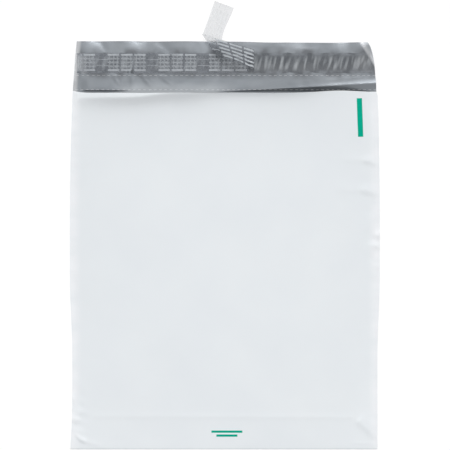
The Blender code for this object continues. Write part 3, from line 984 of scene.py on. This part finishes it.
def film_columns():
    """Places across the film, closer together near its edges, and which columns are slit."""
    places = []
    slit_of_column = []
    for column in range(COLUMNS):
        near_edge = min(column, COLUMNS - 1 - column) < FINE_COLUMNS
        parts = 2 if near_edge else 1
        for part in range(parts):
            places.append((column + part / parts) / COLUMNS)
            slit_of_column.append(column % 2 == 1)
    return np.array(places + [1.0]), slit_of_column


def film_piece():
    """The folded film with its slits."""
    u, slit_of_column = film_columns()
    lines, slit_rows = film_lines()
    points = np.zeros((len(lines), len(u), 3))
    for index, (kind, value) in enumerate(lines):
        y = np.full_like(u, value)
        if kind == "fold":
            y = np.full_like(u, FOLD_Y - FOLD_RADIUS * sin(value))
            z = np.full_like(u, BACK_Z + FOLD_RADIUS * (1 - cos(value)))
        elif kind == "back":
            near_end = bell((FLAP_END_Y - value) / END_LINE_REACH)
            y = y + near_end * (flap_edge_line(across(u, y)) - END_LINE_SHIFT)
            z = back_height(across(u, y), y)
        else:
            y = y + lip_line(across(u, y)) * bell((MOUTH_Y - value) / LIP_REACH)
            z = front_height(across(u, y), y)
        points[index] = np.stack([across(u, y), y, z], axis=-1)
    skip = {(row, column) for row in slit_rows for column, slit in enumerate(slit_of_column) if slit}
    materials = [white_film_material(), grey_film_material()]
    film = sheet_piece("mailer_film_sheet", points, materials, FILM, skip, inside=1)
    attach(film, "root")
    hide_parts("mailer_film")
    return film


def left_end_x():
    """The left end of the adhesive and the liner."""
    return float(-half_width(np.asarray(ADHESIVE_LOW_Y))) + ADHESIVE_SIDE_MARGIN


def adhesive_piece():
    """The rippled stripe of adhesive on the flap."""
    u = np.linspace(0.0, 1.0, ADHESIVE_COLUMNS + 1)
    flat_x = u * BAG_WIDTH
    high_edge = HIGH_EDGE_WANDER * waves(flat_x, u * 0.0, seed=31, count=9, shortest=5, longest=30)
    low_edge = LOW_EDGE_WANDER * waves(flat_x, u * 0.0, seed=32, count=9, shortest=5, longest=30)
    points = np.zeros((ADHESIVE_ROWS + 1, ADHESIVE_COLUMNS + 1, 3))
    for row in range(ADHESIVE_ROWS + 1):
        share = row / ADHESIVE_ROWS
        y = np.full_like(u, ADHESIVE_HIGH_Y - ADHESIVE_WIDTH * share)
        y = y + high_edge * (1 - share) + low_edge * share
        x = across(u, y, ADHESIVE_SIDE_MARGIN)
        lean = x + RIPPLE_LEAN * (y - LINER_Y)
        drift = RIPPLE_DRIFT * np.sin(lean / RIPPLE_DRIFT_LENGTH)
        ripple = np.sin(lean / RIPPLE_LENGTH + drift) * sin(pi * share) ** 2
        lift = FILM / 2 + ADHESIVE / 2 + ADHESIVE_GAP + RIPPLE * ripple
        points[row] = np.stack([x, y, back_height(x, y) + lift], axis=-1)
    strip = sheet_piece("adhesive_stripe", points, [adhesive_material()], ADHESIVE)
    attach(strip, "root")
    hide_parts("adhesive_strip")
    return strip


def curve_point(start, bend, end, t):
    """A point on the curve that runs from start to end and is pulled towards bend."""
    return start * (1 - t) ** 2 + bend * 2 * t * (1 - t) + end * t * t


def loop_stations():
    """The liner's stuck part and its loop: middle points, and half of the line across at each."""
    flat_z = float(back_height(np.asarray(PEEL_X), np.asarray(LINER_Y))) + FILM / 2 + ADHESIVE + LINER
    straight = Vector((0.0, -LINER_WIDTH / 2, 0.0))
    stations = []
    for step in range(STUCK_STEPS + 1):
        x = left_end_x() + (PEEL_X - left_end_x()) * step / STUCK_STEPS
        stations.append((Vector((x, LINER_Y, flat_z)), straight))
    for step in range(1, LOOP_STEPS + 1):
        angle = pi * step / LOOP_STEPS
        x = PEEL_X + LOOP_RADIUS * sin(angle)
        y = LINER_Y + LOOP_SHIFT * step / LOOP_STEPS
        stations.append((Vector((x, y, flat_z + LOOP_RADIUS * (1 - cos(angle)))), straight))
    return stations


def tail_stations(crease_middle, crease_line):
    """The liner's tail, from its crease down to the floor."""
    half = LINER_WIDTH / 2
    end_line = Vector((sin(TAIL_ANGLE), -cos(TAIL_ANGLE), 0.0)) * half
    tip = Vector((TAIL_TIP_X, TAIL_TIP_Y + end_line.y, liner_low.z + LINER / 2))
    start_z = crease_middle.z - CREASE_RADIUS
    stations = []
    for step in range(1, TAIL_STEPS + 1):
        t = step / TAIL_STEPS
        bow = Vector((TAIL_BOW / 2 * sin(pi * t) ** 2, 0.0, 0.0))
        middle = crease_middle.lerp(tip, t) - bow
        middle.z = tip.z + (start_z - tip.z) * (1 - t) ** TAIL_SAG
        stations.append((middle, crease_line.lerp(end_line, t) - bow))
    return stations


def liner_stations():
    """The liner's whole path: stuck down, looped, back to its crease, turned over and out again."""
    stations = loop_stations()
    loop_end, straight = stations[-1]
    crease_line = Vector((cos(CREASE_ANGLE), -sin(CREASE_ANGLE), 0.0)) * CREASE_HALF
    crease_middle = Vector((CREASE_X, FLAP_END_Y - CREASE_FROM_FLAP_END, CREASE_HEIGHT))
    crease_top = crease_middle + Vector((0.0, 0.0, CREASE_RADIUS))
    run_bend = crease_top + Vector((cos(RUN_ANGLE), -sin(RUN_ANGLE), 0.0)) * RUN_REACH
    run_bend.z = loop_end.z
    run_line = Vector((RUN_LINE_X, RUN_LINE_Y, 0.0))
    for step in range(1, RUN_STEPS + 1):
        t = step / RUN_STEPS
        middle = curve_point(loop_end, run_bend, crease_top, t)
        stations.append((middle, curve_point(straight, run_line, crease_line, t)))
    outward = Vector((-sin(CREASE_ANGLE), -cos(CREASE_ANGLE), 0.0))
    for step in range(1, CREASE_STEPS + 1):
        angle = pi * step / CREASE_STEPS
        rise = Vector((0.0, 0.0, CREASE_RADIUS * cos(angle)))
        stations.append((crease_middle + outward * CREASE_RADIUS * sin(angle) + rise, crease_line))
    return stations + tail_stations(crease_middle, crease_line)


def liner_length_to_crease():
    """How long the liner is from its left end to the middle of its crease."""
    last = STUCK_STEPS + LOOP_STEPS + RUN_STEPS + CREASE_STEPS // 2
    middles = [middle for middle, _ in liner_stations()[:last + 1]]
    return sum((after - before).length for before, after in zip(middles, middles[1:]))


def liner_piece():
    """The release liner, with its length and width kept as texture coordinates in millimetres."""
    stations = liner_stations()
    points = np.zeros((len(stations), LINER_COLUMNS + 1, 3))
    uv = np.zeros((len(stations), LINER_COLUMNS + 1, 2))
    travelled = 0.0
    for index, (middle, half_line) in enumerate(stations):
        if index:
            travelled += (middle - stations[index - 1][0]).length
        for column in range(LINER_COLUMNS + 1):
            share = column / LINER_COLUMNS
            point = middle + half_line * (2 * share - 1)
            if index <= STUCK_STEPS:
                film_z = float(back_height(np.asarray(point.x), np.asarray(point.y)))
                point.z = film_z + FILM / 2 + ADHESIVE + LINER / 2 + LINER_GAP
            points[index, column] = point
            uv[index, column] = (travelled / MM, share * LINER_WIDTH / MM)
    liner = sheet_piece("release_liner_film", points, [liner_material()], LINER, uv=uv)
    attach(liner, "root")
    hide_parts("release_liner")
    return liner


def print_patch(node, ink, columns, rows, lean=0.0):
    """A thin patch of ink on the front panel, where the solids have it."""
    low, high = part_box(node)
    middle = (low + high) / 2
    width, height = high.x - low.x, high.y - low.y
    if lean:
        turned_width = (width * cos(lean) - height * sin(lean)) / cos(2 * lean)
        height = (height * cos(lean) - width * sin(lean)) / cos(2 * lean)
        width = turned_width
    points = np.zeros((rows + 1, columns + 1, 3))
    for row in range(rows + 1):
        for column in range(columns + 1):
            along_x = width * (column / columns - 0.5)
            along_y = height * (row / rows - 0.5)
            x = middle.x + along_x * cos(lean) - along_y * sin(lean)
            y = middle.y + along_x * sin(lean) + along_y * cos(lean)
            z = float(front_height(np.asarray(x), np.asarray(y))) + FILM / 2 + INK_GAP
            points[row, column] = (x, y, z)
    patch = sheet_piece(node + "_patch", points, [ink], INK)
    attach(patch, "root")
    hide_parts(node)
    return patch


# Stage, light and camera


def add_floor():
    """The pale floor that the bag lies on."""
    bpy.ops.mesh.primitive_plane_add(size=FLOOR_SIZE, location=(0.0, 0.0, 0.0))
    floor = bpy.context.object
    floor.name = "floor"
    floor.data.materials.append(floor_material())


def add_surroundings():
    """A weak even light from all sides, which the camera sees as white."""
    world = bpy.data.worlds.new("surroundings")
    bpy.context.scene.world = world
    world.use_nodes = True
    background = world.node_tree.nodes["Background"]
    background.inputs["Color"].default_value = (1.0, 1.0, 1.0, 1.0)
    strength = world.node_tree.nodes.new("ShaderNodeMapRange")
    strength.inputs["To Min"].default_value = SURROUNDINGS
    strength.inputs["To Max"].default_value = 1.0
    world.node_tree.links.new(seen_share(world.node_tree), strength.inputs["Value"])
    world.node_tree.links.new(strength.outputs[0], background.inputs["Strength"])


def add_lamps():
    """Broad soft lamps from the back and both sides, and a small one from above."""
    for name, place, energy in LAMPS:
        lamp_data = bpy.data.lights.new(name, "SUN")
        lamp_data.angle = LAMP_SPREAD
        lamp_data.energy = energy
        lamp = bpy.data.objects.new(name, lamp_data)
        lamp.location = place
        lamp.rotation_euler = (-Vector(place)).to_track_quat("-Z", "Y").to_euler()
        bpy.context.scene.collection.objects.link(lamp)
    softbox_data = bpy.data.lights.new("top_lamp", "AREA")
    softbox_data.size = TOP_LAMP_SIZE
    softbox_data.energy = TOP_LAMP_POWER
    softbox = bpy.data.objects.new("top_lamp", softbox_data)
    softbox.location = TOP_LAMP_PLACE
    bpy.context.scene.collection.objects.link(softbox)


def add_camera():
    """A camera straight above, as far away as the photograph's scale asks for."""
    camera_data = bpy.data.cameras.new("camera")
    camera_data.lens = LENS
    camera_data.sensor_width = SENSOR
    camera = bpy.data.objects.new("camera", camera_data)
    distance = PHOTO_PIXELS * PIXEL_SIZE * LENS / SENSOR
    camera.location = (CAMERA_X, 0.0, distance)
    camera_data.clip_end = CAMERA_REACH
    bpy.context.scene.collection.objects.link(camera)
    bpy.context.scene.camera = camera
    bpy.context.scene.view_settings.view_transform = "Standard"


def main():
    """Build every piece and the stage."""
    film = film_piece()
    adhesive = adhesive_piece()
    liner_piece()
    ink = ink_material()
    print_patch("printed_bar", ink, columns=4, rows=24, lean=BAR_LEAN)
    print_patch("printed_line_upper", ink, columns=20, rows=3)
    print_patch("printed_line_lower", ink, columns=14, rows=3)
    add_floor()
    add_surroundings()
    add_lamps()
    add_camera()


main()
